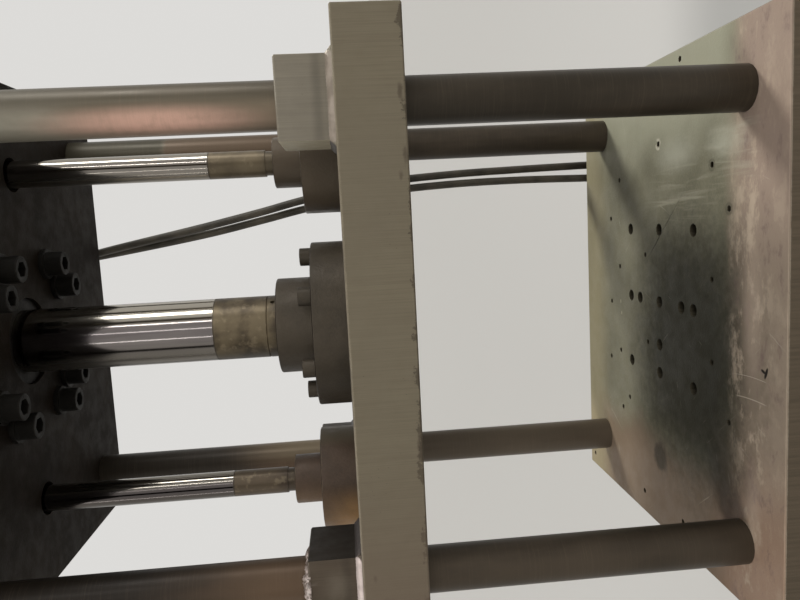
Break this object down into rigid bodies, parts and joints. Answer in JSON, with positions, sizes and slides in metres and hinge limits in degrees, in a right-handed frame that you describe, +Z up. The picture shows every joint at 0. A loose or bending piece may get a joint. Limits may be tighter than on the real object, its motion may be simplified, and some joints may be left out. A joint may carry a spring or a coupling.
{
  "type": "hydraulic press",
  "caption": "Four-column hydraulic press: thick bed, guided platen and crown plates, a main ram with side return rods, and hoses coiled on the floor.",
  "frame": {"origin": "on the floor under the middle of the bed", "axes": "+Z up, +Y away from the operator's side, +X to the operator's right"},
  "size_m": [1.325, 1.7057, 3.7072],
  "materials": {
    "bed_steel": "worn, satin",
    "platen_steel": "sawn, satin",
    "crown_paint": "worn black paint",
    "leg_paint": "dull paint",
    "column_steel": "dark, oiled",
    "rod_chrome": "polished",
    "black_steel": "black oxide",
    "hub_steel": "brown, oiled",
    "bronze": "turned",
    "cylinder_paint": "dull paint",
    "pipe_steel": "bare",
    "hose_rubber": "matt",
    "fitting_steel": "plated"
  },
  "bodies": {
    "frame": {"bed_plate": "bed_steel", "leg_front_left": "leg_paint", "leg_front_right": "leg_paint", "leg_rear_left": "leg_paint", "leg_rear_right": "leg_paint", "column_front_left": "column_steel", "column_front_right": "column_steel", "column_rear_left": "column_steel", "column_rear_right": "column_steel", "bed_nut_front_left": "black_steel", "bed_nut_front_right": "black_steel", "bed_nut_rear_left": "black_steel", "bed_nut_rear_right": "black_steel", "crown_nut_front_left": "black_steel", "crown_nut_front_right": "black_steel", "crown_nut_rear_left": "black_steel", "crown_nut_rear_right": "black_steel", "crown_plate": "crown_paint", "main_cylinder": "cylinder_paint", "main_cylinder_cap": "cylinder_paint", "main_gland": "black_steel", "crown_screw_1": "black_steel", "crown_screw_2": "black_steel", "crown_screw_3": "black_steel", "crown_screw_4": "black_steel", "crown_screw_5": "black_steel", "crown_screw_6": "black_steel", "crown_screw_7": "black_steel", "crown_screw_8": "black_steel", "return_cylinder_left": "cylinder_paint", "return_cylinder_right": "cylinder_paint", "return_line": "pipe_steel", "pressing_hose": "hose_rubber", "pressing_hose_coil": "hose_rubber", "pressing_hose_fitting": "fitting_steel", "return_hose": "hose_rubber", "return_hose_coil": "hose_rubber", "return_hose_fitting": "fitting_steel"},
    "platen": {"platen_plate": "platen_steel", "guide_block_front_left": "platen_steel", "guide_block_front_right": "platen_steel", "guide_block_rear_left": "platen_steel", "guide_block_rear_right": "platen_steel", "guide_bush_front_left": "bronze", "guide_bush_front_right": "bronze", "guide_bush_rear_left": "bronze", "guide_bush_rear_right": "bronze", "main_ram": "rod_chrome", "main_flange": "black_steel", "main_collar": "black_steel", "flange_screw_1": "black_steel", "flange_screw_2": "black_steel", "flange_screw_3": "black_steel", "flange_screw_4": "black_steel", "flange_screw_5": "black_steel", "flange_screw_6": "black_steel", "return_hub_left": "hub_steel", "return_hub_right": "hub_steel", "return_rod_left": "rod_chrome", "return_rod_right": "rod_chrome"}
  },
  "joints": [
    {"name": "platen_slide", "type": "slide", "parent": "frame", "child": "platen", "axis": [0, 0, 1], "range_m": [-0.3048, 0.4572]}
  ]
}
